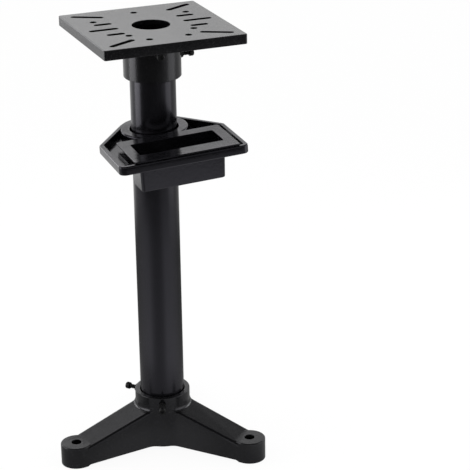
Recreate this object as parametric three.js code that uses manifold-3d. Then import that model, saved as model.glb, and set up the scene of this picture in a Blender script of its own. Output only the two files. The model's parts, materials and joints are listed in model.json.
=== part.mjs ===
// Pedestal stand for a bench grinder: a cast three-legged base, a tube column, a slotted top plate,
// and a tool tray with a drop-in water pot that slides on the column. Clamp screws with jam nuts
// hold the castings on the column. Millimetres, +Z up, floor at Z = 0.
import * as THREE from 'three';
import { mergeVertices } from 'three/addons/utils/BufferGeometryUtils.js';
import Module from 'manifold-3d';

// Column
const standHeight = 813;
const columnDiameter = 82.4;
const columnWall = 3;
const columnSeatHeight = 14;

// Clearances
const slidingGap = 0.4;
const seatGap = 0.3;
const screwGap = 0.3;

// Top plate and its collar
const plateSide = 260;
const plateEdge = 18;
const plateDeck = 9;
const plateSkirt = 8;
const plateCornerRadius = 4;
const plateRounding = 1.2;
const centreHoleDiameter = 68;
const collarWall = 10.2;
const collarLength = 75;
const collarChamfer = 1.5;
const ribDirections = 4;
const ribThickness = 6;
const ribHeight = 7;
const ribOffset = 18;

// Bolt slots and holes in the plate
const slotWidth = 10.5;
const slotInnerEnd = 61;
const longSlotMargin = 16;
const shortSlotMargin = 36.5;
const shortSlotOffset = 36;
const diagonalInnerX = 60.5;
const diagonalInnerY = 82;
const diagonalMarginX = 17.5;
const diagonalMarginY = 20;
const boltHoleDiameter = 12;
const rearHoleX = 87.6;
const rearHoleY = 58;
const frontHoleX = 59.8;
const frontHoleY = 54.4;
const triadHoleX = 35.7;
const triadHoleY = 91.6;

// Base casting
const baseTurn = THREE.MathUtils.degToRad(-20.4);
const legCount = 3;
const hubWall = 10.2;
const hubTop = 104.6;
const hubRounding = 1.5;
const boreChamfer = 2;
const seatLedge = 6;
const legGroundGap = 3;
const legTopAtHub = 75;
const legWidthAtHub = 64;
const legWidthAtFoot = 59.4;
const legRunOntoFoot = 8;
const legRounding = 5;
const legWall = 8;
const legDeck = 9;
const legRootRadius = 25;
const legTopFillet = 5;
const footReach = 186.6;
const footDiameter = 59;
const footHeight = 41;
const footRounding = 2.5;
const footHoleDiameter = 19;
const footPadRun = 9;

// Tool tray, which hangs a little askew on its loose bore
const trayTop = 625;
const trayTurn = THREE.MathUtils.degToRad(-2.2);
const trayLean = THREE.MathUtils.degToRad(-3.1);
const trayDepth = 16;
const trayFloor = 5;
const trayWall = 8;
const trayHalfWidth = 117;
const trayFront = 177;
const traySideEnd = 46.5;
const trayFrontRadius = 12;
const traySideRadius = 10;
const trayRounding = 2.5;
const bossWall = 17.6;
const bossLength = 42;
const bossRounding = 3.5;
const openingClearance = 3;
const openingShift = 3.5;
const lipWidth = 15;
const lipHeight = 3;

// Water pot
const flangeThickness = 3;
const flangeHalfWidth = 95;
const flangeLap = 4.5;
const flangeCornerRadius = 4;
const flangeRounding = 0.8;
const potWall = 2.5;
const potDepth = 71;
const potHalfWidth = 78.7;
const potFront = 143.5;
const potRear = 79;
const potSideDraft = 2;
const potFrontDraft = 7;
const potRearDraft = 8;
const potCornerRadius = 6;
const potBottomRadius = 2.5;

// Clamp screws and jam nuts
const hexSides = 6;
const screwDiameter = 8;
const screwLength = 30;
const screwChamfer = 1;
const headDiameter = 13;
const headHeight = 8;
const headRounding = 0.8;
const socketAcross = 6;
const socketDepth = 4.5;
const nutAcross = 13;
const nutHeight = 6.5;
const nutChamfer = 1;
const baseScrewDrop = 14;
const plateScrews = [
  { name: 'plate_front', angle: THREE.MathUtils.degToRad(-98), drop: 21 },
  { name: 'plate_side', angle: THREE.MathUtils.degToRad(3), drop: 42 },
];
const trayScrewRise = 13;
const frontAngle = -Math.PI / 2;
const rearAngle = Math.PI / 2;

// Finishes
const castPaint = { color: 0x19191b, roughness: 0.48, metalness: 0.2 };
const glossPaint = { color: 0x131315, roughness: 0.25, metalness: 0.2 };
const blackOxide = { color: 0x1b1b1d, roughness: 0.45, metalness: 0.6 };

// Fineness of round surfaces
const tubeSides = 56;
const holeSides = 16;
const screwSides = 20;
const arcSteps = 4;
const outlineSteps = 3;
const roundingSteps = 2;
const overcut = 1;
const mergeTolerance = 1e-4;

// Sizes that follow from the ones above
const columnRadius = columnDiameter / 2;
const boreRadius = columnRadius + slidingGap;
const plateBottom = standHeight - plateEdge;
const deckBottom = standHeight - plateDeck;
const columnTop = deckBottom - seatGap;
const columnBottom = columnSeatHeight + seatGap;
const collarRadius = boreRadius + collarWall;
const collarBottom = plateBottom - collarLength;
const hubRadius = boreRadius + hubWall;
const trayBoreRadius = boreRadius + bossLength * Math.tan(Math.abs(trayLean));
const bossRadius = trayBoreRadius + bossWall;
const trayRearRadius = bossRadius - bossRounding + trayWall;
const trayBottom = trayTop - trayDepth;
const bossBottom = trayTop - bossLength;
const potShift = openingShift + openingClearance - seatGap;
const screwHoleRadius = screwDiameter / 2 + screwGap;
const screwTip = columnRadius + seatGap;
const legTopEnd = footReach - footDiameter / 2 + legRunOntoFoot;
const legSlope = (footHeight - legTopAtHub) / (legTopEnd - hubRadius);
const legTopOnAxis = legTopAtHub - legSlope * hubRadius;
const blockSide = 2 * standHeight;
const gapAngles = [frontAngle, frontAngle - (2 * Math.PI) / legCount];

const wasm = await Module();
wasm.setup();

// A closed mesh as a solid that can be joined and cut.
function solid(geometry) {
  const bare = geometry.clone();
  bare.deleteAttribute('normal');
  bare.deleteAttribute('uv');
  const merged = mergeVertices(bare, mergeTolerance);
  const corners = merged.index.array;
  const triangles = [];
  for (let i = 0; i < corners.length; i += 3) {
    const [a, b, c] = corners.slice(i, i + 3);
    if (a !== b && b !== c && c !== a) triangles.push(a, b, c);
  }
  const surface = new wasm.Mesh({
    numProp: 3,
    vertProperties: Float32Array.from(merged.attributes.position.array),
    triVerts: Uint32Array.from(triangles),
  });
  return new wasm.Manifold(surface);
}

function geometryOf(body) {
  const { vertProperties, triVerts } = body.getMesh();
  const geometry = new THREE.BufferGeometry();
  geometry.setAttribute('position', new THREE.BufferAttribute(vertProperties, 3));
  geometry.setIndex(new THREE.BufferAttribute(triVerts, 1));
  geometry.computeVertexNormals();
  return geometry;
}

// A flat outline raised from low to high; a rounding eases the edges at both ends.
function prism(outline, low, high, rounding = 0) {
  const geometry = new THREE.ExtrudeGeometry(outline, {
    depth: high - low - 2 * rounding,
    curveSegments: outlineSteps,
    bevelEnabled: rounding > 0,
    bevelThickness: rounding,
    bevelSize: rounding,
    bevelOffset: -rounding,
    bevelSegments: roundingSteps,
  });
  return geometry.translate(0, 0, low + rounding);
}

// A profile of [radius, height] pairs turned about Z. It goes up the outside.
function turned(profile, sides) {
  const points = profile.map(([radius, height]) => new THREE.Vector2(radius, height));
  return new THREE.LatheGeometry(points, sides).rotateX(Math.PI / 2);
}

function cylinder(radius, low, high, sides) {
  return turned([[0, low], [radius, low], [radius, high], [0, high]], sides);
}

// Points of a rounded edge on a turned profile, from angle start to angle end about a centre.
function edgeArc(centreRadius, centreHeight, radius, start, end) {
  const points = [];
  for (let i = 0; i <= arcSteps; i += 1) {
    const angle = start + ((end - start) * i) / arcSteps;
    points.push([centreRadius + radius * Math.cos(angle), centreHeight + radius * Math.sin(angle)]);
  }
  return points;
}

// A polygon of [x, y, radius] corners, each rounded to its radius.
function roundedOutline(corners) {
  const outline = new THREE.Shape();
  corners.forEach(([x, y, radius], i) => {
    const here = new THREE.Vector2(x, y);
    const [px, py] = corners[(i + corners.length - 1) % corners.length];
    const [nx, ny] = corners[(i + 1) % corners.length];
    const back = new THREE.Vector2(px, py).sub(here).normalize();
    const ahead = new THREE.Vector2(nx, ny).sub(here).normalize();
    const half = Math.acos(back.dot(ahead)) / 2;
    const centre = back.clone().add(ahead).normalize();
    centre.multiplyScalar(radius / Math.sin(half)).add(here);
    const reach = radius / Math.tan(half);
    const from = here.clone().addScaledVector(back, reach).sub(centre).angle();
    const to = here.clone().addScaledVector(ahead, reach).sub(centre).angle();
    outline.absarc(centre.x, centre.y, radius, from, to, back.cross(ahead) > 0);
  });
  return outline;
}

function rectangle(left, front, right, rear, radius) {
  return roundedOutline([
    [left, front, radius], [right, front, radius], [right, rear, radius], [left, rear, radius],
  ]);
}

// A slot with round ends whose tips are at two points.
function slot(tipA, tipB, width) {
  const along = tipB.clone().sub(tipA).normalize();
  const turn = along.angle();
  const from = tipA.clone().addScaledVector(along, width / 2);
  const to = tipB.clone().addScaledVector(along, -width / 2);
  const outline = new THREE.Shape();
  outline.absarc(to.x, to.y, width / 2, turn - Math.PI / 2, turn + Math.PI / 2, false);
  outline.absarc(from.x, from.y, width / 2, turn + Math.PI / 2, turn + 1.5 * Math.PI, false);
  return outline;
}

// A hole bored from the outside in to the column, at an angle about Z.
function clampHole(outerRadius, angle, height) {
  const hole = cylinder(screwHoleRadius, columnRadius - columnWall, outerRadius + overcut, holeSides);
  return solid(hole.rotateY(Math.PI / 2).rotateZ(angle).translate(0, 0, height));
}

// Upper end of a bore's profile: a chamfer that opens to the face at the top.
function chamferedMouth(radius, top) {
  const mouth = radius + boreChamfer;
  return [[radius, top - boreChamfer], [mouth, top], [mouth, top + overcut], [0, top + overcut]];
}

function columnTube() {
  const inner = columnRadius - columnWall;
  return turned([
    [inner, columnBottom], [columnRadius, columnBottom],
    [columnRadius, columnTop], [inner, columnTop], [inner, columnBottom],
  ], tubeSides);
}

// Tips of the bolt slots on the right half of the plate; the left half mirrors them.
function slotTips() {
  const half = plateSide / 2;
  const tips = [[slotInnerEnd, 0, half - longSlotMargin, 0]];
  for (const side of [-1, 1]) {
    const level = side * shortSlotOffset;
    tips.push([slotInnerEnd, level, half - shortSlotMargin, level]);
    const outerY = side * (half - diagonalMarginY);
    tips.push([diagonalInnerX, side * diagonalInnerY, half - diagonalMarginX, outerY]);
  }
  return tips;
}

function plateCuts() {
  const outlines = [];
  for (const mirror of [-1, 1]) {
    for (const [x0, y0, x1, y1] of slotTips()) {
      const tipA = new THREE.Vector2(mirror * x0, y0);
      const tipB = new THREE.Vector2(mirror * x1, y1);
      outlines.push(slot(tipA, tipB, slotWidth));
    }
  }
  const holes = [[0, triadHoleY]];
  for (const mirror of [-1, 1]) {
    holes.push([mirror * rearHoleX, rearHoleY], [mirror * frontHoleX, -frontHoleY]);
    holes.push([mirror * triadHoleX, -triadHoleY]);
  }
  const cuts = outlines.map((outline) => prism(outline, plateBottom, standHeight + overcut));
  for (const [x, y] of holes) {
    const hole = cylinder(boltHoleDiameter / 2, plateBottom, standHeight + overcut, holeSides);
    cuts.push(hole.translate(x, y, 0));
  }
  return cuts;
}

// Square deck with a skirt, ribbed underneath, cast in one with the collar that fits the column.
function topPlate() {
  const half = plateSide / 2;
  const pocketHalf = half - plateSkirt;
  let body = solid(prism(rectangle(-half, -half, half, half, plateCornerRadius),
    plateBottom, standHeight, plateRounding));
  const pocket = rectangle(-pocketHalf, -pocketHalf, pocketHalf, pocketHalf, plateCornerRadius);
  body = body.subtract(solid(prism(pocket, plateBottom - overcut, deckBottom)));
  const joined = deckBottom + overcut;
  body = body.add(solid(turned([
    [0, collarBottom], [collarRadius - collarChamfer, collarBottom],
    [collarRadius, collarBottom + collarChamfer], [collarRadius, joined], [0, joined],
  ], tubeSides)));
  const ribLength = pocketHalf + overcut - columnRadius;
  for (let i = 0; i < ribDirections; i += 1) {
    for (const side of [-1, 1]) {
      const rib = new THREE.BoxGeometry(ribLength, ribThickness, ribHeight + overcut);
      rib.translate(columnRadius + ribLength / 2, side * ribOffset, joined - (ribHeight + overcut) / 2);
      body = body.add(solid(rib.rotateZ((2 * Math.PI * i) / ribDirections)));
    }
  }
  body = body.subtract(solid(cylinder(boreRadius, collarBottom - overcut, deckBottom, tubeSides)));
  body = body.subtract(solid(cylinder(centreHoleDiameter / 2, deckBottom - overcut,
    standHeight + overcut, tubeSides)));
  for (const cut of plateCuts()) body = body.subtract(solid(cut));
  for (const { angle, drop } of plateScrews) {
    body = body.subtract(clampHole(collarRadius, angle, plateBottom - drop));
  }
  return body;
}

// Half width of a leg at a distance from the column axis, narrower by an inset.
function legHalfWidth(reach, inset) {
  const share = (reach - hubRadius) / (legTopEnd - hubRadius);
  return (legWidthAtHub + (legWidthAtFoot - legWidthAtHub) * share) / 2 - inset;
}

// Plan of one leg along +X: it flares into the round hub and ends inside the foot.
function legOutline(inset) {
  const start = new THREE.Vector2(hubRadius, legHalfWidth(hubRadius, inset));
  const end = new THREE.Vector2(footReach, legHalfWidth(footReach, inset));
  const along = end.clone().sub(start).normalize();
  const normal = new THREE.Vector2(-along.y, along.x);
  const offset = normal.dot(start) + legRootRadius;
  const reach = Math.sqrt((hubRadius + legRootRadius) ** 2 - offset ** 2);
  const centre = normal.clone().multiplyScalar(offset).addScaledVector(along, reach);
  const onHub = centre.clone().negate().angle();
  const onSide = normal.clone().negate().angle();
  const rootHalfWidth = (centre.y * hubRadius) / (hubRadius + legRootRadius);
  const outline = new THREE.Shape();
  outline.moveTo(0, -rootHalfWidth);
  outline.lineTo(0, rootHalfWidth);
  outline.absarc(centre.x, centre.y, legRootRadius, onHub, onSide, false);
  outline.lineTo(end.x, end.y);
  outline.lineTo(end.x, -end.y);
  outline.absarc(centre.x, -centre.y, legRootRadius, -onSide, -onHub, false);
  return outline;
}

// Leans a level shape to the slope of a leg's top.
function sloped(geometry, topOnAxis) {
  geometry.applyMatrix4(new THREE.Matrix4().makeShear(0, legSlope, 0, 0, 0, 0));
  return geometry.translate(0, 0, topOnAxis);
}

function leg() {
  const depth = legTopOnAxis + footHeight;
  const body = solid(sloped(prism(legOutline(0), -depth, 0, legRounding), legTopOnAxis));
  const above = new THREE.BoxGeometry(blockSide, blockSide, standHeight);
  return body.intersect(solid(above.translate(0, 0, legGroundGap + standHeight / 2)));
}

// Concave fillet where the sloping top of a leg meets the hub.
function legFillet() {
  const ring = turned([
    [hubRadius - overcut, -overcut], [hubRadius + legTopFillet, -overcut],
    ...edgeArc(hubRadius + legTopFillet, legTopFillet, legTopFillet, 1.5 * Math.PI, Math.PI),
    [hubRadius - overcut, legTopFillet], [hubRadius - overcut, -overcut],
  ], tubeSides);
  const width = solid(prism(legOutline(legRounding), 0, standHeight));
  return solid(sloped(ring, legTopOnAxis)).intersect(width);
}

// Hollow under a leg, open to the floor.
function legChannel() {
  const near = hubRadius + legWall;
  const far = footReach - footDiameter / 2 - legWall;
  const outline = new THREE.Shape();
  outline.moveTo(near, -legHalfWidth(near, legWall));
  outline.lineTo(far, -legHalfWidth(far, legWall));
  outline.lineTo(far, legHalfWidth(far, legWall));
  outline.lineTo(near, legHalfWidth(near, legWall));
  return solid(sloped(prism(outline, -standHeight, 0), legTopOnAxis - legDeck));
}

function foot() {
  const radius = footDiameter / 2;
  return turned([
    [0, 0], [radius, 0],
    ...edgeArc(radius - footRounding, footHeight - footRounding, footRounding, 0, Math.PI / 2),
    [0, footHeight],
  ], tubeSides).translate(footReach, 0, 0);
}

// Carries the sole of a foot in along the leg's sides, where it ends in a step.
function footPad() {
  const height = legGroundGap + overcut;
  const pad = new THREE.BoxGeometry(footPadRun, footDiameter, height);
  return pad.translate(footReach - footPadRun / 2, 0, height / 2);
}

// Round hub on three hollow legs with round feet, bored for the column down to a ledge.
function baseCasting() {
  let body = solid(turned([
    [0, legGroundGap], [hubRadius, legGroundGap],
    ...edgeArc(hubRadius - hubRounding, hubTop - hubRounding, hubRounding, 0, Math.PI / 2),
    [0, hubTop],
  ], tubeSides));
  const oneLeg = leg().add(legFillet()).add(solid(foot())).add(solid(footPad()))
    .subtract(legChannel());
  const footHole = solid(cylinder(footHoleDiameter / 2, -overcut, footHeight + overcut, holeSides)
    .translate(footReach, 0, 0));
  const finishedLeg = geometryOf(oneLeg.subtract(footHole)).rotateZ(rearAngle);
  for (let i = 0; i < legCount; i += 1) {
    body = body.add(solid(finishedLeg.clone().rotateZ((2 * Math.PI * i) / legCount)));
  }
  const ledge = columnRadius - seatLedge;
  body = body.subtract(solid(turned([
    [0, -overcut], [ledge, -overcut], [ledge, columnSeatHeight], [boreRadius, columnSeatHeight],
    ...chamferedMouth(boreRadius, hubTop),
  ], tubeSides)));
  for (const angle of gapAngles) {
    body = body.subtract(clampHole(hubRadius, angle, hubTop - baseScrewDrop));
  }
  return body;
}

// Plan of the tray: straight front and sides, then edges that run tangent to the round rear.
function trayOutline(inset) {
  const half = trayHalfWidth - inset;
  const radius = trayRearRadius - inset;
  const corner = new THREE.Vector2(trayHalfWidth, -traySideEnd);
  const slant = corner.angle() - 2 * Math.PI + Math.acos(trayRearRadius / corner.length());
  const sideEnd = (radius - half * Math.cos(slant)) / Math.sin(slant);
  const apex = radius / Math.sin(slant);
  const front = inset - trayFront;
  return roundedOutline([
    [-half, front, trayFrontRadius - inset], [half, front, trayFrontRadius - inset],
    [half, sideEnd, traySideRadius - inset], [0, apex, radius], [-half, sideEnd, traySideRadius - inset],
  ]);
}

function potOpening(margin) {
  return rectangle(-potHalfWidth - margin, -potFront - margin, potHalfWidth + margin,
    margin - potRear, potCornerRadius + margin);
}

// Shallow pan with a rim, a boss for the column and an opening for the pot.
function toolTray() {
  let body = solid(prism(trayOutline(0), trayBottom, trayTop, trayRounding));
  const floor = trayBottom + trayFloor;
  body = body.subtract(solid(prism(trayOutline(trayWall), floor, trayTop + overcut)));
  body = body.add(solid(prism(potOpening(openingClearance + lipWidth), floor - overcut,
    floor + lipHeight).translate(openingShift, 0, 0)));
  const rounded = edgeArc(bossRadius - bossRounding, trayTop - bossRounding, bossRounding, 0, Math.PI / 2);
  body = body.add(solid(turned([[0, bossBottom], [bossRadius, bossBottom], ...rounded, [0, trayTop]],
    tubeSides)));
  body = body.subtract(solid(prism(potOpening(openingClearance), trayBottom - overcut, trayTop)
    .translate(openingShift, 0, 0)));
  body = body.subtract(solid(turned([
    [0, bossBottom - overcut], [trayBoreRadius, bossBottom - overcut],
    ...chamferedMouth(trayBoreRadius, trayTop),
  ], tubeSides)));
  return body.subtract(clampHole(bossRadius, rearAngle, bossBottom + trayScrewRise));
}

// Draws a straight-sided box in towards its bottom, more at the rear than at the front.
function drafted(geometry, top, bottom) {
  const points = geometry.attributes.position;
  for (let i = 0; i < points.count; i += 1) {
    const share = (top - points.getZ(i)) / (top - bottom);
    const x = points.getX(i);
    const y = points.getY(i);
    const frontShare = (-potRear - y) / (potFront - potRear);
    const shift = frontShare * potFrontDraft - (1 - frontShare) * potRearDraft;
    points.setX(i, x - (share * potSideDraft * x) / potHalfWidth);
    points.setY(i, y + share * shift);
  }
  return geometry;
}

// Open pot that hangs by a flange on the front rim of the tray and on the boss, pushed to the right.
function waterPot() {
  const flangeBottom = trayTop + seatGap;
  const flangeTop = flangeBottom + flangeThickness;
  const bottom = flangeTop - potDepth;
  const flange = rectangle(-flangeHalfWidth, trayWall - flangeLap - trayFront, flangeHalfWidth,
    flangeLap - bossRadius, flangeCornerRadius);
  let body = solid(prism(flange, flangeBottom, flangeTop, flangeRounding));
  const outside = prism(potOpening(0), bottom, flangeTop + overcut, potBottomRadius);
  const level = new THREE.BoxGeometry(blockSide, blockSide, standHeight);
  const below = solid(level.translate(0, 0, flangeTop - flangeRounding - standHeight / 2));
  body = body.add(solid(drafted(outside, flangeTop, bottom)).intersect(below));
  const inside = prism(potOpening(-potWall), bottom + potWall, flangeTop + potDepth, potBottomRadius);
  body = body.subtract(solid(drafted(inside, flangeTop, bottom)));
  return geometryOf(body).translate(potShift, 0, 0);
}

// Socket-head screw along +X, tip at the origin.
function clampScrew() {
  const shank = screwDiameter / 2;
  const head = headDiameter / 2;
  const end = screwLength + headHeight;
  const body = solid(turned([
    [0, 0], [shank - screwChamfer, 0], [shank, screwChamfer], [shank, screwLength], [head, screwLength],
    [head, end - headRounding], [head - headRounding, end], [0, end],
  ], screwSides));
  const socketRadius = socketAcross / Math.sqrt(3);
  const socket = cylinder(socketRadius, end - socketDepth, end + overcut, hexSides);
  return geometryOf(body.subtract(solid(socket))).rotateY(Math.PI / 2);
}

// Hexagon nut along +X, its seat at the origin, with the corners turned off at both faces.
function jamNut() {
  const corner = nutAcross / Math.sqrt(3);
  const round = turned([
    [0, 0], [corner - nutChamfer, 0], [corner, nutChamfer / 2],
    [corner, nutHeight - nutChamfer / 2], [corner - nutChamfer, nutHeight], [0, nutHeight],
  ], screwSides);
  const hexagon = solid(cylinder(corner, 0, nutHeight, hexSides));
  const hole = cylinder(screwHoleRadius, -overcut, nutHeight + overcut, holeSides);
  return geometryOf(hexagon.intersect(solid(round)).subtract(solid(hole))).rotateY(Math.PI / 2);
}

function mesh(name, geometry, finish) {
  const piece = new THREE.Mesh(geometry, new THREE.MeshStandardMaterial(finish));
  piece.name = name;
  return piece;
}

// A screw and its nut, pointing at the column from an angle about Z.
function clamp(place, angle, height, seatRadius) {
  const screw = mesh(`${place}_screw`, clampScrew(), blackOxide);
  screw.position.x = screwTip;
  const nut = mesh(`${place}_nut`, jamNut(), blackOxide);
  nut.position.x = seatRadius + seatGap;
  const group = new THREE.Group();
  group.add(screw, nut);
  group.position.z = height;
  group.rotation.z = angle;
  return group;
}

const base = new THREE.Group();
base.rotation.z = baseTurn;
base.add(mesh('base_casting', geometryOf(baseCasting()), castPaint));
const [frontGap, leftGap] = gapAngles;
base.add(clamp('base_front', frontGap, hubTop - baseScrewDrop, hubRadius));
base.add(clamp('base_left', leftGap, hubTop - baseScrewDrop, hubRadius));

const top = new THREE.Group();
top.add(mesh('top_plate', geometryOf(topPlate()), castPaint));
for (const { name, angle, drop } of plateScrews) {
  top.add(clamp(name, angle, plateBottom - drop, collarRadius));
}

const tray = new THREE.Group();
tray.add(mesh('tool_tray', geometryOf(toolTray()), glossPaint));
tray.add(mesh('water_pot', waterPot(), glossPaint));
tray.add(clamp('tray', rearAngle, bossBottom + trayScrewRise, bossRadius));
tray.position.z = -trayTop;
const leaning = new THREE.Group();
leaning.add(tray);
leaning.position.z = trayTop;
leaning.rotation.set(0, trayLean, trayTurn, 'ZYX');

// The origin is on the floor at the middle of the ground that the stand covers.
const stand = new THREE.Group();
stand.add(base, mesh('column_tube', columnTube(), glossPaint), leaning, top);
const middle = new THREE.Box3().setFromObject(stand, true).getCenter(new THREE.Vector3());
stand.position.set(-middle.x, -middle.y, 0);

export default stand;
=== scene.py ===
import json
import math

import bmesh
import bpy
import numpy as np
from bpy.props import FloatProperty, FloatVectorProperty, IntProperty, PointerProperty
from mathutils import Matrix, Vector


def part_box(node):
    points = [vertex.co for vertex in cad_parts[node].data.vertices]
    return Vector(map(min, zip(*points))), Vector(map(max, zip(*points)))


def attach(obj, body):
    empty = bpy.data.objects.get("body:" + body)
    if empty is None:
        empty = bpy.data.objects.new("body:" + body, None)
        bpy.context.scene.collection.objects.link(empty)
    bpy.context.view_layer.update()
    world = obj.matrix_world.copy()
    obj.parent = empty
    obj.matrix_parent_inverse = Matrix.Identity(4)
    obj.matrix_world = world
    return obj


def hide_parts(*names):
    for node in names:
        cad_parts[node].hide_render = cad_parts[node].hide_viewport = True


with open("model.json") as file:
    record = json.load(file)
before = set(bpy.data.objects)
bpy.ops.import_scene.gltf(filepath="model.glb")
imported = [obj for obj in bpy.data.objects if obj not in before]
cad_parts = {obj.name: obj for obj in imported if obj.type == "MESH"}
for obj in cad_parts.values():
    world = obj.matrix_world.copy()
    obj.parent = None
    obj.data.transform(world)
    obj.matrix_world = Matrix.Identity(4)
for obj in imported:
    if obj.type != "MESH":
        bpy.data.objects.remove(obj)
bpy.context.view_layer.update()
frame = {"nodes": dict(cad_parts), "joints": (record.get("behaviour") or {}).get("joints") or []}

bl_info = {
    "name": "Bench Grinder Stand",
    "version": (1, 0, 0),
    "blender": (4, 5, 0),
    "location": "View3D > Sidebar > Stand",
    "description": "Finishes a pedestal stand for a bench grinder around its packed solids",
    "category": "Object",
}

# Lengths are in metres and angles in radians. Turns and rises in the studio are in degrees.

FULL_TURN = 2 * math.pi

WELD_DISTANCE = 0.00025
SEAM_DISTANCE = WELD_DISTANCE / 100
FLAT_ANGLE = math.radians(2)
SHARP_ANGLE = math.radians(50)
SLIVER = 0.0003
FLAT_FACE_WEIGHT = 80

TUBE_EASE = 0.0008
TUBE_CREASE = math.radians(30)
ROUND_SIDES = 96
SHANK_SIDES = 24
SHANK_OVERLAP = 0.0003
SCREW_CREASE = math.radians(35)
HEAD_EASE = 0.0005
HEAD_STEP = 0.0004
NUT_CREASE = math.radians(20)
NUT_CLEARANCE = 0.0001
NUT_MOUTH = 0.0004
NUT_TURNED = 0.96
NUT_SLOPE = math.tan(math.radians(30))

PIT_SHARE = 0.45
SATIN_SPREAD = (-0.06, 0.1)
GLOSS_SPREAD = (-0.03, 0.07)
DULLED_PALER = 1.5
OXIDE_ROUGHNESS = (0.28, 0.5)
OXIDE_METAL = 0.5
WORN_PALER = 2.2

CLAMPS = ("base_front", "base_left", "tray", "plate_front", "plate_side")


class StandFinish(bpy.types.PropertyGroup):
    """Paint of the castings, the tube and the pot, and the oxide of the fasteners."""

    casting_color: FloatVectorProperty(
        name="Casting paint", description="Satin black paint on the base and the plate",
        subtype="COLOR", size=3, min=0, max=1, default=(0.0026, 0.0026, 0.0029))
    gloss_color: FloatVectorProperty(
        name="Gloss paint", description="Gloss black paint on the tube, the tray and the pot",
        subtype="COLOR", size=3, min=0, max=1, default=(0.0024, 0.0024, 0.0029))
    fleck_color: FloatVectorProperty(
        name="Paint flecks", description="Paler grains that show through the satin paint",
        subtype="COLOR", size=3, min=0, max=1, default=(0.016, 0.016, 0.017))
    oxide_color: FloatVectorProperty(
        name="Black oxide", description="Oxide finish of the screws and nuts",
        subtype="COLOR", size=3, min=0, max=1, default=(0.008, 0.008, 0.0085))
    casting_sheen: FloatVectorProperty(
        name="Casting sheen", description="Tint of the reflections in the satin paint",
        subtype="COLOR", size=3, min=0, max=1, default=(0.94, 0.94, 1.0))
    gloss_sheen: FloatVectorProperty(
        name="Gloss sheen", description="Tint of the reflections in the gloss paint",
        subtype="COLOR", size=3, min=0, max=1, default=(0.88, 0.86, 1.0))
    casting_roughness: FloatProperty(
        name="Casting roughness", description="Roughness of the satin paint",
        subtype="FACTOR", min=0, max=1, default=0.14)
    tray_roughness: FloatProperty(
        name="Tray roughness", description="Roughness of the gloss paint on the tray and the pot",
        subtype="FACTOR", min=0, max=1, default=0.1)
    tube_roughness: FloatProperty(
        name="Tube roughness", description="Roughness of the gloss paint on the tube",
        subtype="FACTOR", min=0, max=1, default=0.19)
    grain_size: FloatProperty(
        name="Grain size", description="Size of the sand grain that shows under the paint",
        subtype="DISTANCE", unit="LENGTH", min=0.0002, default=0.0026)
    grain_depth: FloatProperty(
        name="Grain depth", description="Depth of the sand grain under the satin paint",
        subtype="DISTANCE", unit="LENGTH", min=0, default=0.00016)
    ripple_size: FloatProperty(
        name="Ripple size", description="Size of the ripples in the sprayed gloss paint",
        subtype="DISTANCE", unit="LENGTH", min=0.001, default=0.007)
    ripple_depth: FloatProperty(
        name="Ripple depth", description="Depth of the ripples in the sprayed gloss paint",
        subtype="DISTANCE", unit="LENGTH", min=0, default=0.00012)


class StandDetail(bpy.types.PropertyGroup):
    """Rounded edges of the castings and the detail of the fasteners."""

    edge_radius: FloatProperty(
        name="Edge radius", description="Rounding of the castings' sharp edges",
        subtype="DISTANCE", unit="LENGTH", min=0, default=0.0006)
    edge_segments: IntProperty(
        name="Edge segments", description="Steps of a rounded edge", min=1, max=6, default=2)
    tube_sides: IntProperty(
        name="Tube sides", description="Sides of the round tube", min=24, max=256, default=160)
    screw_diameter: FloatProperty(
        name="Screw diameter", description="Outer diameter of the screw thread",
        subtype="DISTANCE", unit="LENGTH", min=0.002, default=0.008)
    thread_pitch: FloatProperty(
        name="Thread pitch", description="Advance of the thread in one turn",
        subtype="DISTANCE", unit="LENGTH", min=0.0005, default=0.00125)
    thread_depth: FloatProperty(
        name="Thread depth", description="Height of the thread from root to crest",
        subtype="DISTANCE", unit="LENGTH", min=0.0001, default=0.00068)
    head_diameter: FloatProperty(
        name="Head diameter", description="Diameter of the screw head",
        subtype="DISTANCE", unit="LENGTH", min=0.004, default=0.013)
    head_height: FloatProperty(
        name="Head height", description="Height of the screw head",
        subtype="DISTANCE", unit="LENGTH", min=0.002, default=0.008)
    knurl_depth: FloatProperty(
        name="Knurl depth", description="Depth of the grooves round the screw head",
        subtype="DISTANCE", unit="LENGTH", min=0, default=0.00022)
    socket_across: FloatProperty(
        name="Socket across flats", description="Width of the hexagon socket",
        subtype="DISTANCE", unit="LENGTH", min=0.002, default=0.006)
    socket_depth: FloatProperty(
        name="Socket depth", description="Depth of the hexagon socket",
        subtype="DISTANCE", unit="LENGTH", min=0.001, default=0.0045)
    nut_across: FloatProperty(
        name="Nut across flats", description="Width of the jam nut",
        subtype="DISTANCE", unit="LENGTH", min=0.004, default=0.013)


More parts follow.
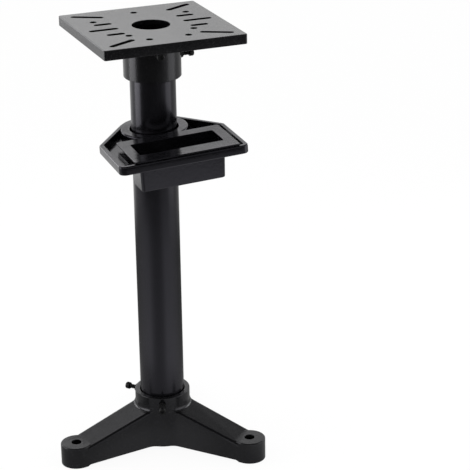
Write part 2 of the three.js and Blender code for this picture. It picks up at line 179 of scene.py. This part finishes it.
class StandStudio(bpy.types.PropertyGroup):
    """Camera, floor and lights."""

    camera_place: FloatVectorProperty(
        name="Camera place", description="Where the camera stands",
        subtype="TRANSLATION", unit="LENGTH", size=3, default=(-0.96655, -2.84250, 1.60329))
    camera_azimuth: FloatProperty(
        name="Camera azimuth", description="Direction of the camera about the stand",
        subtype="ANGLE", unit="ROTATION", default=math.radians(-22.16))
    camera_elevation: FloatProperty(
        name="Camera elevation", description="Height of the camera above the horizon",
        subtype="ANGLE", unit="ROTATION", default=math.radians(21.65))
    camera_roll: FloatProperty(
        name="Camera roll", description="Tilt of the picture",
        subtype="ANGLE", unit="ROTATION", default=math.radians(-0.80))
    lens: FloatProperty(
        name="Lens", description="Focal length in millimetres on a 36 mm sensor",
        min=20, max=400, default=134.25)
    floor_color: FloatVectorProperty(
        name="Floor", description="Colour of the pale floor",
        subtype="COLOR", size=3, min=0, max=1, default=(0.94, 0.94, 0.94))
    ambient: FloatProperty(
        name="Ambient light", description="Strength of the light from all round",
        min=0, max=2, default=0.95)
    back_glow: FloatProperty(
        name="Back softbox", description="Brightness of the softbox above and behind the stand",
        min=0, max=10, default=1.0)
    left_glow: FloatProperty(
        name="Left softbox", description="Brightness of the softbox that stands to the left",
        min=0, max=10, default=2.0)
    right_glow: FloatProperty(
        name="Right softbox", description="Brightness of the softbox that stands to the right",
        min=0, max=10, default=0.75)
    rim_glow: FloatProperty(
        name="Rim softboxes",
        description="Brightness of the small softboxes behind the stand on both sides",
        min=0, max=10, default=3.0)


def gather_finish():
    return bpy.context.scene.stand_finish


def gather_detail():
    return bpy.context.scene.stand_detail


def link(name, data):
    piece = bpy.data.objects.new(name, data)
    bpy.context.scene.collection.objects.link(piece)
    return piece


def node_points(name):
    return np.array([v.co for v in frame["nodes"][name].data.vertices], float)


def add_node(tree, kind, x, y, inputs=None, **settings):
    node = tree.nodes.new(kind)
    node.location = (x, y)
    for key, value in settings.items():
        setattr(node, key, value)
    for label, value in (inputs or {}).items():
        node.inputs[label].default_value = value
    return node


def group_tree(name, size_label, outputs):
    """An empty shader node group that takes a place and a size, and puts out numbers."""
    tree = bpy.data.node_groups.new(name, "ShaderNodeTree")
    add_socket = tree.interface.new_socket
    add_socket("Place", in_out="INPUT", socket_type="NodeSocketVector")
    add_socket(size_label, in_out="INPUT", socket_type="NodeSocketFloat")
    for label in outputs:
        add_socket(label, in_out="OUTPUT", socket_type="NodeSocketFloat")
    start = add_node(tree, "NodeGroupInput", -900, 0)
    end = add_node(tree, "NodeGroupOutput", 700, 0)
    scale = add_node(tree, "ShaderNodeMath", -700, -120, {0: 1}, operation="DIVIDE")
    tree.links.new(start.outputs[size_label], scale.inputs[1])
    return tree, start.outputs["Place"], scale.outputs[0], end


def cast_grain_group():
    """Sand grain of a casting under its paint: a height, a mask of the paler grains, and wide patches."""
    found = bpy.data.node_groups.get("Cast Grain")
    if found:
        return found
    tree, place, scale, end = group_tree("Cast Grain", "Grain Size", ("Height", "Flecks", "Patches"))
    link_up = tree.links.new
    grain = add_node(tree, "ShaderNodeTexNoise", -450, 120, {"Detail": 3, "Roughness": 0.6})
    pits = add_node(tree, "ShaderNodeTexVoronoi", -450, -160, feature="F1")
    patches = add_node(tree, "ShaderNodeTexNoise", -450, -420, {"Scale": 14, "Detail": 3})
    for texture in (grain, pits, patches):
        link_up(place, texture.inputs["Vector"])
    link_up(scale, grain.inputs["Scale"])
    link_up(scale, pits.inputs["Scale"])
    blend = add_node(tree, "ShaderNodeMath", -150, 60, {1: PIT_SHARE}, operation="MULTIPLY_ADD")
    link_up(pits.outputs["Distance"], blend.inputs[0])
    link_up(grain.outputs["Fac"], blend.inputs[2])
    flecks = add_node(tree, "ShaderNodeMapRange", -150, -200, {"From Min": 0.56, "From Max": 0.74})
    link_up(grain.outputs["Fac"], flecks.inputs["Value"])
    link_up(blend.outputs[0], end.inputs["Height"])
    link_up(flecks.outputs["Result"], end.inputs["Flecks"])
    link_up(patches.outputs["Fac"], end.inputs["Patches"])
    return tree


def spray_ripple_group():
    """Ripples of sprayed gloss paint, and a mask of where hands have dulled it."""
    found = bpy.data.node_groups.get("Spray Ripple")
    if found:
        return found
    tree, place, scale, end = group_tree("Spray Ripple", "Ripple Size", ("Height", "Dulled"))
    link_up = tree.links.new
    ripple = add_node(tree, "ShaderNodeTexNoise", -450, 120, {"Detail": 2, "Roughness": 0.45})
    hands = add_node(
        tree, "ShaderNodeTexNoise", -450, -200, {"Scale": 17, "Detail": 4, "Distortion": 0.6})
    for texture in (ripple, hands):
        link_up(place, texture.inputs["Vector"])
    link_up(scale, ripple.inputs["Scale"])
    dulled = add_node(tree, "ShaderNodeMapRange", -150, -200, {"From Min": 0.35, "From Max": 0.7})
    link_up(hands.outputs["Fac"], dulled.inputs["Value"])
    link_up(ripple.outputs["Fac"], end.inputs["Height"])
    link_up(dulled.outputs["Result"], end.inputs["Dulled"])
    return tree


def start_material(name):
    material = bpy.data.materials.new(name)
    material.use_nodes = True
    tree = material.node_tree
    shader = tree.nodes["Principled BSDF"]
    place = add_node(tree, "ShaderNodeTexCoord", -1100, 0)
    return material, tree, shader, place.outputs["Object"]


def place_group(tree, group, place, size, x, y):
    """Puts a node group into a material. The second input is the size of its grain or ripples."""
    node = add_node(tree, "ShaderNodeGroup", x, y, {1: size}, node_tree=group)
    tree.links.new(place, node.inputs["Place"])
    return node


def spread(tree, mask, low, high, x, y):
    """Turns a mask from 0 to 1 into a value from low to high."""
    node = add_node(tree, "ShaderNodeMapRange", x, y, {"To Min": low, "To Max": high})
    tree.links.new(mask, node.inputs["Value"])
    return node.outputs["Result"]


def mix_color(tree, mask, first, second, x, y):
    """Mixes two colours by a mask. Sockets 6, 7 and 2 of the node are those for colours."""
    colors = {6: (*first, 1), 7: (*second, 1)}
    node = add_node(tree, "ShaderNodeMix", x, y, colors, data_type="RGBA")
    tree.links.new(mask, node.inputs[0])
    return node.outputs[2]


def bump(tree, height, depth, x, y, under=None):
    """Bumps of a coat of paint. under is the normal of what lies below it."""
    node = add_node(tree, "ShaderNodeBump", x, y, {"Distance": depth})
    tree.links.new(height, node.inputs["Height"])
    if under:
        tree.links.new(under, node.inputs["Normal"])
    return node.outputs["Normal"]


def satin_casting():
    """Satin black paint over a sand casting, with fine pale flecks."""
    found = bpy.data.materials.get("Satin Black Casting")
    if found:
        return found
    finish = gather_finish()
    material, tree, shader, place = start_material("Satin Black Casting")
    grain = place_group(tree, cast_grain_group(), place, finish.grain_size, -850, 100)
    color = mix_color(tree, grain.outputs["Flecks"], finish.casting_color, finish.fleck_color, -400, 250)
    tree.links.new(color, shader.inputs["Base Color"])
    low, high = (finish.casting_roughness + change for change in SATIN_SPREAD)
    roughness = spread(tree, grain.outputs["Patches"], low, high, -400, -50)
    tree.links.new(roughness, shader.inputs["Roughness"])
    shader.inputs["Specular Tint"].default_value = (*finish.casting_sheen, 1)
    normal = bump(tree, grain.outputs["Height"], finish.grain_depth, -400, -350)
    tree.links.new(normal, shader.inputs["Normal"])
    return material


def gloss_paint(name, roughness, ripple_depth, grain_depth=0):
    """Gloss black paint whose ripples, and the grain of a casting under it, break up its reflections."""
    found = bpy.data.materials.get(name)
    if found:
        return found
    finish = gather_finish()
    material, tree, shader, place = start_material(name)
    ripple = place_group(tree, spray_ripple_group(), place, finish.ripple_size, -850, 100)
    base = finish.gloss_color
    paler = [DULLED_PALER * value for value in base]
    color = mix_color(tree, ripple.outputs["Dulled"], base, paler, -400, 250)
    tree.links.new(color, shader.inputs["Base Color"])
    low, high = (roughness + change for change in GLOSS_SPREAD)
    tree.links.new(spread(tree, ripple.outputs["Dulled"], low, high, -400, -50), shader.inputs["Roughness"])
    shader.inputs["Specular Tint"].default_value = (*finish.gloss_sheen, 1)
    under = None
    if grain_depth:
        grain = place_group(tree, cast_grain_group(), place, finish.grain_size, -1000, -350)
        under = bump(tree, grain.outputs["Height"], grain_depth, -650, -350)
    normal = bump(tree, ripple.outputs["Height"], ripple_depth, -400, -350, under)
    tree.links.new(normal, shader.inputs["Normal"])
    return material


def black_oxide():
    """Black oxide on steel, worn a little paler in patches."""
    found = bpy.data.materials.get("Black Oxide")
    if found:
        return found
    finish = gather_finish()
    material, tree, shader, place = start_material("Black Oxide")
    grain = place_group(tree, cast_grain_group(), place, finish.grain_size / 4, -850, 100)
    base = finish.oxide_color
    paler = [WORN_PALER * value for value in base]
    color = mix_color(tree, grain.outputs["Flecks"], base, paler, -400, 250)
    tree.links.new(color, shader.inputs["Base Color"])
    roughness = spread(tree, grain.outputs["Patches"], *OXIDE_ROUGHNESS, -400, -50)
    tree.links.new(roughness, shader.inputs["Roughness"])
    shader.inputs["Metallic"].default_value = OXIDE_METAL
    normal = bump(tree, grain.outputs["Height"], finish.grain_depth / 6, -400, -350)
    tree.links.new(normal, shader.inputs["Normal"])
    return material


def face_width(face):
    """How wide a face is across its longest edge."""
    return 2 * face.calc_area() / max(edge.calc_length() for edge in face.edges)


def softened_copy(node_name, piece_name):
    """The shape of a casting or of the pot, its sharp edges rounded and its flat faces shaded flat."""
    detail = gather_detail()
    shape = bmesh.new()
    shape.from_mesh(frame["nodes"][node_name].data)
    bmesh.ops.remove_doubles(shape, verts=shape.verts, dist=WELD_DISTANCE)
    bmesh.ops.dissolve_limit(shape, angle_limit=FLAT_ANGLE, verts=shape.verts, edges=shape.edges)
    rounded = shape.edges.layers.float.new("bevel_weight_edge")
    for face in shape.faces:
        face.smooth = True
    for edge in shape.edges:
        bent = edge.calc_face_angle(0) > SHARP_ANGLE
        sharp = bent and min(map(face_width, edge.link_faces)) > SLIVER
        edge[rounded] = float(sharp and edge.is_convex)
        edge.smooth = not sharp or edge.is_convex
    mesh = bpy.data.meshes.new(piece_name)
    shape.to_mesh(mesh)
    shape.free()
    if "custom_normal" in mesh.attributes:
        mesh.attributes.remove(mesh.attributes["custom_normal"])
    piece = link(piece_name, mesh)
    edges = piece.modifiers.new("Rounded edges", "BEVEL")
    edges.width = detail.edge_radius
    edges.segments = detail.edge_segments
    edges.limit_method = "WEIGHT"
    edges.use_clamp_overlap = False
    corners = piece.modifiers.new("Closed corners", "WELD")
    corners.merge_threshold = SEAM_DISTANCE
    flats = piece.modifiers.new("Flat faces", "WEIGHTED_NORMAL")
    flats.weight = FLAT_FACE_WEIGHT
    flats.keep_sharp = True
    return piece


def finish_piece(piece, body, node_name, material):
    piece.data.materials.clear()
    piece.data.materials.append(material)
    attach(piece, body)
    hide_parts(node_name)
    return piece


def ring(shape, radius, height, sides=ROUND_SIDES):
    """A ring of points about Z. radius and height are numbers or functions of the angle."""
    points = []
    for i in range(sides):
        angle = FULL_TURN * i / sides
        r = radius(angle) if callable(radius) else radius
        z = height(angle) if callable(height) else height
        points.append(shape.verts.new((r * math.cos(angle), r * math.sin(angle), z)))
    return points


def bridge(shape, lower, upper):
    sides = len(lower)
    for i in range(sides):
        j = (i + 1) % sides
        shape.faces.new((lower[i], lower[j], upper[j], upper[i]))


def bridge_all(shape, rings, closed=False):
    for lower, upper in zip(rings, rings[1:]):
        bridge(shape, lower, upper)
    if closed:
        bridge(shape, rings[-1], rings[0])


def hexagon(across):
    """Distance from the middle of a hexagon to its edge, by angle."""
    sixth = FULL_TURN / 6

    def reach(angle):
        return across / 2 / math.cos((angle + sixth / 2) % sixth - sixth / 2)

    return reach


def threaded_shank(shape, length, detail, sides=SHANK_SIDES):
    """A closed rod along +Z from 0 to length with a helical thread that runs out at both ends."""
    radius = detail.screw_diameter / 2
    pitch = detail.thread_pitch
    root = radius - detail.thread_depth
    profile = ((0.0, root), (0.25, root), (0.5625, radius), (0.6875, radius))
    turns = math.ceil(length / pitch) + 1
    columns = []
    for i in range(sides):
        angle = FULL_TURN * i / sides
        column = []
        for turn in range(-1, turns):
            for offset, reach in profile:
                z = pitch * (turn + offset + i / sides)
                if z <= 0 or z >= length:
                    z = min(max(z, 0), length)
                    reach = root
                column.append(shape.verts.new((reach * math.cos(angle), reach * math.sin(angle), z)))
        columns.append(column)
    step = len(profile)
    rows = len(columns[0])
    for i in range(sides):
        here = columns[i]
        there = columns[(i + 1) % sides]
        lift = step if i == sides - 1 else 0
        for k in range(rows - 1 - lift):
            shape.faces.new((here[k], there[k + lift], there[k + 1 + lift], here[k + 1]))
    bmesh.ops.remove_doubles(shape, verts=shape.verts, dist=SEAM_DISTANCE)
    bmesh.ops.dissolve_degenerate(shape, dist=SEAM_DISTANCE, edges=shape.edges)
    loose = [v for v in shape.verts if not v.link_faces]
    bmesh.ops.delete(shape, geom=loose, context="VERTS")
    rims = [e for e in shape.edges if e.is_boundary]
    bmesh.ops.holes_fill(shape, edges=rims, sides=0)


def cap_head(shape, bottom, detail):
    """Round head with fine straight grooves and a hexagon socket."""
    radius = detail.head_diameter / 2
    eased = radius - HEAD_EASE
    groove = detail.knurl_depth
    top = bottom + detail.head_height
    across = hexagon(detail.socket_across)
    floor = top - detail.socket_depth

    def grooved(angle):
        return radius - groove * (round(angle * ROUND_SIDES / FULL_TURN) % 2)

    def socket_mouth(angle):
        return across(angle) + HEAD_STEP

    rings = [
        ring(shape, eased, bottom),
        ring(shape, radius - groove, bottom + HEAD_STEP),
        ring(shape, grooved, bottom + 2 * HEAD_STEP),
        ring(shape, grooved, top - 4 * HEAD_STEP),
        ring(shape, radius - groove, top - 3 * HEAD_STEP),
        ring(shape, radius - groove, top - 2 * HEAD_STEP),
        ring(shape, eased - HEAD_STEP, top),
        ring(shape, socket_mouth, top),
        ring(shape, across, top - HEAD_STEP),
        ring(shape, across, floor),
    ]
    bridge_all(shape, rings)
    tip = shape.verts.new((0, 0, floor - 3 * HEAD_STEP))
    last = rings[-1]
    for here, there in zip(last, last[1:] + last[:1]):
        shape.faces.new((here, there, tip))
    shape.faces.new(reversed(rings[0]))


def jam_nut(shape, height, detail):
    """Hexagon nut, its corners turned off by a cone at both faces."""
    across = hexagon(detail.nut_across)
    hole = detail.screw_diameter / 2 + NUT_CLEARANCE
    mouth = hole + NUT_MOUTH
    turned = detail.nut_across / 2 * NUT_TURNED

    def lower(angle):
        return (across(angle) - turned) * NUT_SLOPE

    def upper(angle):
        return height - lower(angle)

    bridge_all(shape, [
        ring(shape, hole, NUT_MOUTH),
        ring(shape, mouth, 0),
        ring(shape, turned, 0),
        ring(shape, across, lower),
        ring(shape, across, upper),
        ring(shape, turned, height),
        ring(shape, mouth, height),
        ring(shape, hole, height - NUT_MOUTH),
    ], closed=True)


def along_axis(node_name):
    """Places +Z of a fastener on its hinge axis, and gives how long its solid is."""
    joint = next(j for j in frame["joints"] if j["child"] == node_name)
    axis = Vector(joint["axis"]).normalized()
    origin = Vector(joint["pos_m"])
    offsets = node_points(node_name) - np.array(origin)
    along = offsets @ np.array(axis)
    across = offsets - np.outer(along, np.array(axis))
    corner = Vector(across[np.argmax(np.linalg.norm(across, axis=1))]).normalized()
    side = axis.cross(corner).normalized()
    corner = side.cross(axis)
    start = origin + axis * float(along.min())
    place = Matrix.Translation(start) @ Matrix((corner, side, axis)).transposed().to_4x4()
    return place, float(along.max() - along.min())


def fastener(name, shape, place, crease):
    """A finished mesh object from a fastener drawn along +Z."""
    bmesh.ops.recalc_face_normals(shape, faces=shape.faces)
    mesh = bpy.data.meshes.new(name)
    shape.to_mesh(mesh)
    shape.free()
    mesh.transform(place)
    mesh.shade_smooth()
    mesh.set_sharp_from_angle(angle=crease)
    return link(name, mesh)


class STAND_OT_stage(bpy.types.Operator):
    """Pale floor, soft studio light, painted glow for reflections, and the camera"""

    bl_idname = "stand.stage"
    bl_label = "Studio"

    def execute(self, context):
        studio = context.scene.stand_studio
        make_world(context.scene, studio)
        make_floor(studio)
        make_painted_glow(studio)
        make_lights(studio)
        make_camera(context.scene, studio)
        context.scene.view_settings.view_transform = "Standard"
        return {"FINISHED"}


def seen_directly(tree, x, y):
    """1 where the camera, a reflection or a clear surface looks straight at this."""
    rays = add_node(tree, "ShaderNodeLightPath", x, y)
    total = rays.outputs["Is Camera Ray"]
    for i, label in enumerate(("Is Glossy Ray", "Is Transmission Ray")):
        larger = add_node(tree, "ShaderNodeMath", x + 200 * (i + 1), y, operation="MAXIMUM")
        tree.links.new(total, larger.inputs[0])
        tree.links.new(rays.outputs[label], larger.inputs[1])
        total = larger.outputs[0]
    return total


def make_world(scene, studio):
    world = bpy.data.worlds.new("Studio")
    scene.world = world
    world.use_nodes = True
    tree = world.node_tree
    background = tree.nodes["Background"]
    ambient = (studio.ambient,) * 3
    color = mix_color(tree, seen_directly(tree, -1000, 0), ambient, (1, 1, 1), -300, 0)
    tree.links.new(color, background.inputs["Color"])
    background.inputs["Strength"].default_value = 1


FLOOR_HALF = 9
FLOOR_ROUGHNESS = 0.9
FLOOR_GLOW_SHARE = 0.92


def make_floor(studio):
    """A white floor that still takes the shadow of the stand."""
    signs = ((-1, -1), (1, -1), (1, 1), (-1, 1))
    mesh = bpy.data.meshes.new("studio_floor")
    mesh.from_pydata([(FLOOR_HALF * x, FLOOR_HALF * y, 0) for x, y in signs], [], [(0, 1, 2, 3)])
    floor = link("studio_floor", mesh)
    material = bpy.data.materials.new("Pale Floor")
    material.use_nodes = True
    tree = material.node_tree
    shader = tree.nodes["Principled BSDF"]
    shader.inputs["Base Color"].default_value = (*studio.floor_color, 1)
    shader.inputs["Roughness"].default_value = FLOOR_ROUGHNESS
    white = add_node(tree, "ShaderNodeEmission", -200, -300)
    share = add_node(tree, "ShaderNodeMath", -200, 200, {1: FLOOR_GLOW_SHARE}, operation="MULTIPLY")
    tree.links.new(seen_directly(tree, -900, 200), share.inputs[0])
    mix = add_node(tree, "ShaderNodeMixShader", 150, 0)
    tree.links.new(share.outputs[0], mix.inputs[0])
    tree.links.new(shader.outputs[0], mix.inputs[1])
    tree.links.new(white.outputs[0], mix.inputs[2])
    tree.links.new(mix.outputs[0], tree.nodes["Material Output"].inputs["Surface"])
    mesh.materials.append(material)


def toward(studio, turn):
    """Level direction from the stand, turned to the right from the one that faces the camera."""
    angle = studio.camera_azimuth - math.pi / 2 + math.radians(turn)
    return Vector((math.cos(angle), math.sin(angle), 0))


def glow_piece(name, shape, tone):
    """A stage piece that only reflections see, with a brightness of its own at each point."""
    mesh = bpy.data.meshes.new(name)
    shape.to_mesh(mesh)
    shape.free()
    layer = mesh.color_attributes.new("glow", "FLOAT_COLOR", "POINT")
    for vertex, color in zip(mesh.vertices, layer.data):
        value = tone(vertex.co)
        color.color = (value, value, value, 1)
    material = bpy.data.materials.new(name)
    material.use_nodes = True
    tree = material.node_tree
    glow = add_node(tree, "ShaderNodeVertexColor", -300, 0, layer_name="glow")
    light = add_node(tree, "ShaderNodeEmission", 0, 0)
    tree.links.new(glow.outputs["Color"], light.inputs["Color"])
    tree.links.new(light.outputs[0], tree.nodes["Material Output"].inputs["Surface"])
    mesh.materials.append(material)
    piece = link(name, mesh)
    piece.visible_camera = False
    piece.visible_diffuse = False
    piece.visible_shadow = False


def turn_of(studio, point):
    """Degrees to the right of the camera at which a point stands, from -180 to 180."""
    ahead, right = toward(studio, 0), toward(studio, 90)
    return math.degrees(math.atan2(point.dot(right), point.dot(ahead)))


# Painted light and shade of a glowing sheet under the stand, in place of lit paper in reflections.
# Each row goes with SWEEP_TURNS, in degrees to the right of the camera. SWEEP_ROWS gives a distance from
# the stand, a level and the row that it scales.
SWEEP_TURNS = (-180, -140, -122, -105, -84, -64, -46, -30, -15, 0, 18, 30, 40, 55, 71, 92, 118, 140, 180)
SWEEP_EVEN = (1,) * len(SWEEP_TURNS)
SWEEP_NEAR = (
    0.15, 0.13, 0.2, 0.33, 0.52, 0.68, 0.74, 0.5, 0.36, 0.33,
    0.4, 0.6, 0.76, 0.74, 0.68, 0.47, 0.2, 0.12, 0.15,
)
SWEEP_MIDDLE = (
    0.5, 0.9, 0.62, 0.5, 0.5, 0.35, 0.12, 0.12, 0.12, 0.12,
    0.16, 0.3, 0.33, 0.38, 0.5, 0.5, 0.4, 0.4, 0.5,
)
SWEEP_FAR = (
    0.5, 0.8, 0.8, 0.78, 0.7, 0.3, 0.04, 0.03, 0.03, 0.03,
    0.03, 0.03, 0.03, 0.4, 0.6, 0.6, 0.4, 0.4, 0.5,
)
# The three even rows nearest the stand are a painted shadow of the stand; the dark far tones towards the
# camera are painted shade.
SWEEP_ROWS = (
    (0.13, 0.45, SWEEP_EVEN), (0.18, 0.26, SWEEP_EVEN), (0.27, 0.36, SWEEP_EVEN),
    (0.4, 1.3, SWEEP_NEAR), (0.8, 1, SWEEP_NEAR), (1.1, 1, SWEEP_NEAR),
    (1.3, 1, SWEEP_MIDDLE), (1.9, 1, SWEEP_MIDDLE), (2.6, 1, SWEEP_FAR),
)
SWEEP_RADII = [0.05 + 0.06 * i for i in range(64)]
SWEEP_HEIGHT = 0.001

# Painted light and shade of a glowing room seen only in reflections: its brightness by turn, dark towards
# the camera as painted shade, how it changes from low to high, and where it fades darker overhead.
ROOM_TURNS = (
    (-180, 1.25), (-160, 1.7), (-140, 1.3), (-120, 0.8), (-90, 0.3), (-60, 0.04),
    (60, 0.04), (90, 0.3), (120, 0.7), (160, 1), (180, 1.25),
)
ROOM_UPPER = 0.7
ROOM_UPPER_RISES = (8, 13)
ROOM_FADE = ((23, 1), (33, 0.34), (52, 0.1))
ROOM_RADIUS = 3.8
ROOM_RISES = [89 * i / 18 for i in range(19)]
ROOM_BASE = 0.002


def make_painted_glow(studio):
    """Glowing sheets with painted light and shade, seen only in reflections: one under the stand in place
    of lit paper, and a room that is dark towards the camera.
    """
    # Painted light and shade of the glowing sheet under the stand.
    def painted_paper_light(point):
        turn = turn_of(studio, point)
        distances = [distance for distance, _, _ in SWEEP_ROWS]
        tones = [level * np.interp(turn, SWEEP_TURNS, row) for _, level, row in SWEEP_ROWS]
        return float(np.interp(point.length, distances, tones))

    # Painted light and shade of the glowing room, darker towards the camera and overhead.
    def painted_room_light(point):
        low = np.interp(turn_of(studio, point), *zip(*ROOM_TURNS))
        rise = math.degrees(math.asin(min(point.z / point.length, 1)))
        tone = np.interp(rise, ROOM_UPPER_RISES, (low, max(low, ROOM_UPPER)))
        return float(tone * np.interp(rise, *zip(*ROOM_FADE)))

    sweep = bmesh.new()
    bridge_all(sweep, [ring(sweep, radius, SWEEP_HEIGHT) for radius in SWEEP_RADII])
    glow_piece("painted_sweep_light", sweep, painted_paper_light)
    room = bmesh.new()
    rings = []
    for rise in map(math.radians, ROOM_RISES):
        rings.append(ring(room, ROOM_RADIUS * math.cos(rise), ROOM_RADIUS * math.sin(rise) + ROOM_BASE))
    bridge_all(room, rings)
    glow_piece("painted_room_glow", room, painted_room_light)


# Name, turn to the right of the camera, distance, height, height aimed at, width, length, brightness.
SOFTBOXES = (
    ("back_softbox", 193, 1.33, 1.34, 1.34, 1.5, 0.22, "back_glow"),
    ("left_softbox", -82, 1.35, 0.92, 0.92, 0.85, 1.46, "left_glow"),
    ("left_rear_softbox", -125, 1.45, 0.75, 0.4, 0.5, 0.5, "rim_glow"),
    ("right_rear_softbox", 125, 1.45, 0.75, 0.4, 0.5, 0.5, "rim_glow"),
    ("right_softbox", 84, 1.35, 0.85, 0.85, 0.8, 1.6, "right_glow"),
)


def softbox(name, place, aim, width, length, glow):
    lamp = bpy.data.lights.new(name, "AREA")
    lamp.shape = "RECTANGLE"
    lamp.size = width
    lamp.size_y = length
    lamp.energy = glow * math.pi * width * length
    box = link(name, lamp)
    box.location = place
    box.rotation_euler = (Vector(aim) - Vector(place)).to_track_quat("-Z", "Y").to_euler()
    box.visible_camera = False


def make_lights(studio):
    for name, turn, distance, height, aim, width, length, glow in SOFTBOXES:
        place = toward(studio, turn) * distance + Vector((0, 0, height))
        softbox(name, place, (0, 0, aim), width, length, getattr(studio, glow))


SENSOR_WIDTH = 36


def make_camera(scene, studio):
    data = bpy.data.cameras.new("photo_camera")
    data.lens = studio.lens
    data.sensor_width = SENSOR_WIDTH
    camera = link("photo_camera", data)
    turn, rise, roll = studio.camera_azimuth, studio.camera_elevation, studio.camera_roll
    back = Vector((math.sin(turn) * math.cos(rise), -math.cos(turn) * math.cos(rise), math.sin(rise)))
    level = Vector((math.cos(turn), math.sin(turn), 0))
    up = back.cross(level)
    right = level * math.cos(roll) + up * math.sin(roll)
    up = up * math.cos(roll) - level * math.sin(roll)
    facing = Matrix((right, up, back)).transposed().to_4x4()
    camera.matrix_world = Matrix.Translation(studio.camera_place) @ facing
    scene.camera = camera


class STAND_OT_base(bpy.types.Operator):
    """Cast base with its hub, legs and feet"""

    bl_idname = "stand.base"
    bl_label = "Cast base"

    def execute(self, context):
        piece = softened_copy("base_casting", "cast_base")
        finish_piece(piece, "base", "base_casting", satin_casting())
        return {"FINISHED"}


class STAND_OT_column(bpy.types.Operator):
    """Round tube that carries the plate and the tray"""

    bl_idname = "stand.column"
    bl_label = "Column"

    def execute(self, context):
        finish = gather_finish()
        sides = gather_detail().tube_sides
        low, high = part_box("column_tube")
        middle = (low + high) / 2
        offsets = node_points("column_tube")[:, :2] - np.array(middle)[:2]
        reach = np.hypot(*offsets.T)
        outer, inner = float(reach.max()), float(reach.min())
        shape = bmesh.new()
        profile = (
            (inner, low.z), (outer - TUBE_EASE, low.z), (outer, low.z + TUBE_EASE),
            (outer, high.z - TUBE_EASE), (outer - TUBE_EASE, high.z), (inner, high.z),
        )
        bridge_all(shape, [ring(shape, r, z, sides) for r, z in profile], closed=True)
        bmesh.ops.recalc_face_normals(shape, faces=shape.faces)
        mesh = bpy.data.meshes.new("column")
        shape.to_mesh(mesh)
        shape.free()
        mesh.transform(Matrix.Translation((middle.x, middle.y, 0)))
        mesh.shade_smooth()
        mesh.set_sharp_from_angle(angle=TUBE_CREASE)
        paint = gloss_paint("Gloss Black Tube", finish.tube_roughness, finish.ripple_depth / 4)
        finish_piece(link("column", mesh), "column", "column_tube", paint)
        return {"FINISHED"}


class STAND_OT_plate(bpy.types.Operator):
    """Slotted top plate with its collar"""

    bl_idname = "stand.plate"
    bl_label = "Top plate"

    def execute(self, context):
        piece = softened_copy("top_plate", "grinder_plate")
        finish_piece(piece, "plate", "top_plate", satin_casting())
        return {"FINISHED"}


class STAND_OT_tray(bpy.types.Operator):
    """Tool tray with its boss"""

    bl_idname = "stand.tray"
    bl_label = "Tool tray"

    def execute(self, context):
        finish = gather_finish()
        piece = softened_copy("tool_tray", "tray_casting")
        paint = gloss_paint(
            "Gloss Black Casting", finish.tray_roughness, finish.ripple_depth, finish.grain_depth / 2)
        finish_piece(piece, "tray", "tool_tray", paint)
        return {"FINISHED"}


class STAND_OT_pot(bpy.types.Operator):
    """Water pot that hangs in the tray"""

    bl_idname = "stand.pot"
    bl_label = "Water pot"

    def execute(self, context):
        finish = gather_finish()
        piece = softened_copy("water_pot", "pot_shell")
        paint = gloss_paint(
            "Gloss Black Pot", finish.tray_roughness, finish.ripple_depth, finish.grain_depth / 3)
        finish_piece(piece, "pot", "water_pot", paint)
        return {"FINISHED"}


class STAND_OT_screws(bpy.types.Operator):
    """Clamp screws with threads, grooved heads and hexagon sockets"""

    bl_idname = "stand.screws"
    bl_label = "Clamp screws"

    def execute(self, context):
        detail = gather_detail()
        for clamp in CLAMPS:
            node_name = f"{clamp}_screw"
            place, length = along_axis(node_name)
            shank = length - detail.head_height
            shape = bmesh.new()
            threaded_shank(shape, shank + SHANK_OVERLAP, detail)
            cap_head(shape, shank, detail)
            piece = fastener(f"{clamp}_cap_screw", shape, place, SCREW_CREASE)
            finish_piece(piece, node_name, node_name, black_oxide())
        return {"FINISHED"}


class STAND_OT_nuts(bpy.types.Operator):
    """Jam nuts that lock the clamp screws"""

    bl_idname = "stand.nuts"
    bl_label = "Jam nuts"

    def execute(self, context):
        detail = gather_detail()
        for clamp in CLAMPS:
            node_name = f"{clamp}_nut"
            place, height = along_axis(node_name)
            shape = bmesh.new()
            jam_nut(shape, height, detail)
            piece = fastener(f"{clamp}_jam_nut", shape, place, NUT_CREASE)
            finish_piece(piece, node_name, node_name, black_oxide())
        return {"FINISHED"}


class STAND_PT_panel(bpy.types.Panel):
    """Lists the pieces of the stand"""

    bl_idname = "STAND_PT_panel"
    bl_label = "Grinder stand"
    bl_space_type = "VIEW_3D"
    bl_region_type = "UI"
    bl_category = "Stand"

    def draw(self, context):
        for operator in OPERATORS:
            self.layout.operator(operator.bl_idname)
        for group in (context.scene.stand_finish, context.scene.stand_detail, context.scene.stand_studio):
            box = self.layout.box()
            for key in group.__annotations__:
                box.prop(group, key)


OPERATORS = (
    STAND_OT_stage,
    STAND_OT_base,
    STAND_OT_column,
    STAND_OT_plate,
    STAND_OT_tray,
    STAND_OT_pot,
    STAND_OT_screws,
    STAND_OT_nuts,
)
CLASSES = (StandFinish, StandDetail, StandStudio, *OPERATORS, STAND_PT_panel)


def register():
    for cls in CLASSES:
        bpy.utils.register_class(cls)
    bpy.types.Scene.stand_finish = PointerProperty(type=StandFinish)
    bpy.types.Scene.stand_detail = PointerProperty(type=StandDetail)
    bpy.types.Scene.stand_studio = PointerProperty(type=StandStudio)


def unregister():
    del bpy.types.Scene.stand_studio
    del bpy.types.Scene.stand_detail
    del bpy.types.Scene.stand_finish
    for cls in reversed(CLASSES):
        bpy.utils.unregister_class(cls)


def main():
    register()
    bpy.ops.stand.stage()
    bpy.ops.stand.base()
    bpy.ops.stand.column()
    bpy.ops.stand.plate()
    bpy.ops.stand.tray()
    bpy.ops.stand.pot()
    bpy.ops.stand.screws()
    bpy.ops.stand.nuts()


if __name__ == "__main__":
    main()
